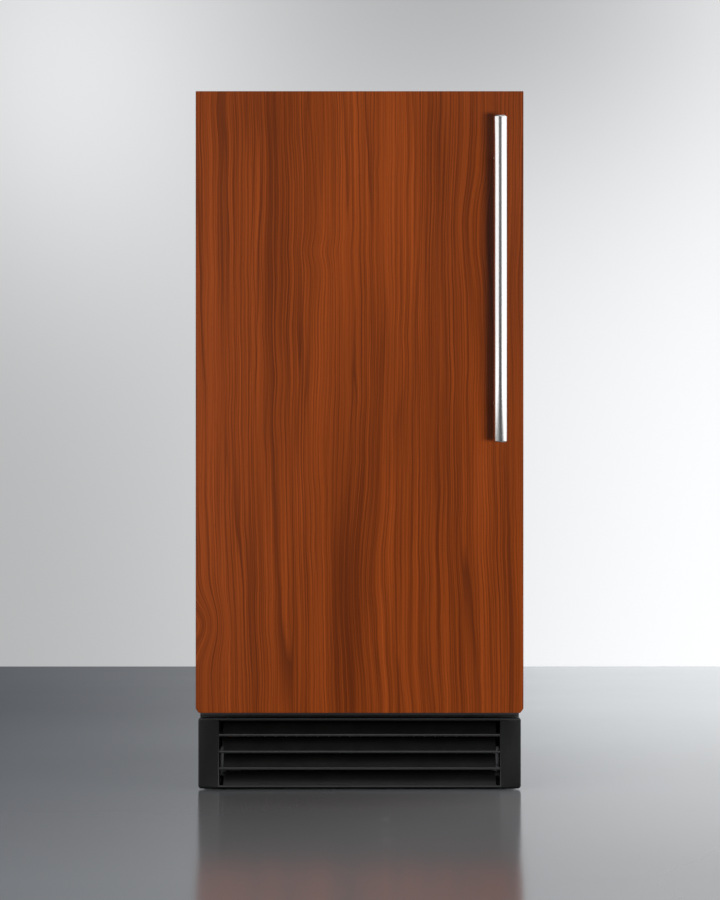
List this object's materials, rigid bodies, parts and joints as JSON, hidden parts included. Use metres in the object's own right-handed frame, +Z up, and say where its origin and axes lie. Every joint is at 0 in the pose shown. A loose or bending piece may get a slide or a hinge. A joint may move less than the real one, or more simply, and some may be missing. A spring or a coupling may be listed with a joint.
{
  "type": "under-counter ice maker",
  "caption": "Narrow built-in ice maker: timber overlay door with a vertical bar handle, insulated bin, ice plate with water curtain, condensing unit and louvred toe grille.",
  "frame": {"origin": "on the floor, under the middle of the whole envelope", "axes": "+Z up, front faces -Y, +X to the viewer's right"},
  "size_m": [0.378, 0.628, 0.808],
  "materials": {
    "cabinet_sheet": "satin black painted steel sheet",
    "galvanised_sheet": "plain zinc-coated steel",
    "stainless": "brushed stainless steel",
    "timber_veneer": "satin lacquered reddish-brown cherry",
    "black_plastic": "fine-grained black plastic",
    "white_plastic": "smooth white plastic",
    "pale_hose": "pale flexible hose",
    "curtain_plastic": "translucent plastic",
    "rigid_foam": "rigid insulating foam, sealed inside the walls",
    "seal_rubber": "soft black seal",
    "zinc_fastener": "bright zinc-plated steel",
    "foot_plastic": "black levelling foot",
    "black_can": "black painted compressor can",
    "copper_tube": "bare copper tube",
    "fin_aluminium": "thin aluminium fins",
    "nickel_plate": "nickel-plated evaporator",
    "display_glass": "dark glossy display window"
  },
  "bodies": {
    "cabinet": {"left_side_panel": "cabinet_sheet", "right_side_panel": "cabinet_sheet", "top_panel": "cabinet_sheet", "rear_panel": "galvanised_sheet", "rear_service_cover": "galvanised_sheet", "base_pan": "galvanised_sheet", "bin_deck": "galvanised_sheet", "insulation": "rigid_foam", "inner_liner": "white_plastic", "front_face_frame": "white_plastic", "lower_front_panel": "cabinet_sheet", "kick_grille": "black_plastic", "grille_clips": "galvanised_sheet", "foot_sockets": "galvanised_sheet", "hinge_brackets": "stainless", "hinge_screws": "zinc_fastener", "compressor": "black_can", "compressor_grommets": "seal_rubber", "terminal_box": "black_plastic", "condenser_coil": "copper_tube", "condenser_fins": "fin_aluminium", "fan_shroud": "black_plastic", "fan_motor": "galvanised_sheet", "filter_drier": "copper_tube", "hot_gas_valve": "zinc_fastener", "refrigerant_lines": "copper_tube", "evaporator_plate": "nickel_plate", "evaporator_coil": "copper_tube", "evaporator_frame": "white_plastic", "water_distributor": "white_plastic", "water_sump": "white_plastic", "water_pump": "black_plastic", "pump_hose": "pale_hose", "inlet_valve": "white_plastic", "inlet_tube": "pale_hose", "drain_hose": "black_plastic", "control_fascia": "black_plastic", "display_window": "display_glass", "scoop_holder": "white_plastic", "cord_gland": "seal_rubber"},
    "door": {"door_panel": "timber_veneer", "door_outer_pan": "stainless", "door_end_caps": "black_plastic", "door_foam": "rigid_foam", "door_inner_liner": "white_plastic", "door_gasket": "seal_rubber", "handle_bar": "stainless", "handle_posts": "stainless", "handle_screws": "zinc_fastener", "panel_screws": "zinc_fastener"},
    "condenser_fan": {"fan_blade": "black_plastic"},
    "curtain": {"water_curtain": "curtain_plastic"},
    "sump_float": {"float": "white_plastic"},
    "scoop": {"ice_scoop": "white_plastic"},
    "power_button": {"button_power": "zinc_fastener"},
    "clean_button": {"button_clean": "zinc_fastener"},
    "front_left_foot": {"foot_front_left": "foot_plastic"},
    "front_right_foot": {"foot_front_right": "foot_plastic"},
    "rear_left_foot": {"foot_rear_left": "foot_plastic"},
    "rear_right_foot": {"foot_rear_right": "foot_plastic"}
  },
  "joints": [
    {"name": "door_swing", "type": "hinge", "parent": "cabinet", "child": "door", "pos_m": [-0.173, -0.2365, 0.45], "axis": [0, 0, -1], "range_deg": [0, 115]},
    {"name": "condenser_fan_spin", "type": "hinge", "parent": "cabinet", "child": "condenser_fan", "pos_m": [-0.005, -0.108, 0.105], "axis": [0, 1, 0], "continuous": true},
    {"name": "water_curtain_swing", "type": "hinge", "parent": "cabinet", "child": "curtain", "pos_m": [0, 0.129, 0.704], "axis": [-1, 0, 0], "range_deg": [0, 40]},
    {"name": "float_rise", "type": "slide", "parent": "cabinet", "child": "sump_float", "axis": [0, 0, 1], "range_m": [0, 0.022]},
    {"name": "scoop_lift", "type": "slide", "parent": "cabinet", "child": "scoop", "axis": [0, 0, 1], "range_m": [0, 0.04]},
    {"name": "power_button_press", "type": "slide", "parent": "cabinet", "child": "power_button", "axis": [0, 1, 0], "range_m": [0, 0.0012], "stiffness_N_per_m": 400, "springref_m": -0.002},
    {"name": "clean_button_press", "type": "slide", "parent": "cabinet", "child": "clean_button", "axis": [0, 1, 0], "range_m": [0, 0.0012], "stiffness_N_per_m": 400, "springref_m": -0.002},
    {"name": "front_left_foot_level", "type": "slide", "parent": "cabinet", "child": "front_left_foot", "axis": [0, 0, 1], "range_m": [-0.02, 0]},
    {"name": "front_right_foot_level", "type": "slide", "parent": "cabinet", "child": "front_right_foot", "axis": [0, 0, 1], "range_m": [-0.02, 0]},
    {"name": "rear_left_foot_level", "type": "slide", "parent": "cabinet", "child": "rear_left_foot", "axis": [0, 0, 1], "range_m": [-0.02, 0]},
    {"name": "rear_right_foot_level", "type": "slide", "parent": "cabinet", "child": "rear_right_foot", "axis": [0, 0, 1], "range_m": [-0.02, 0]}
  ]
}
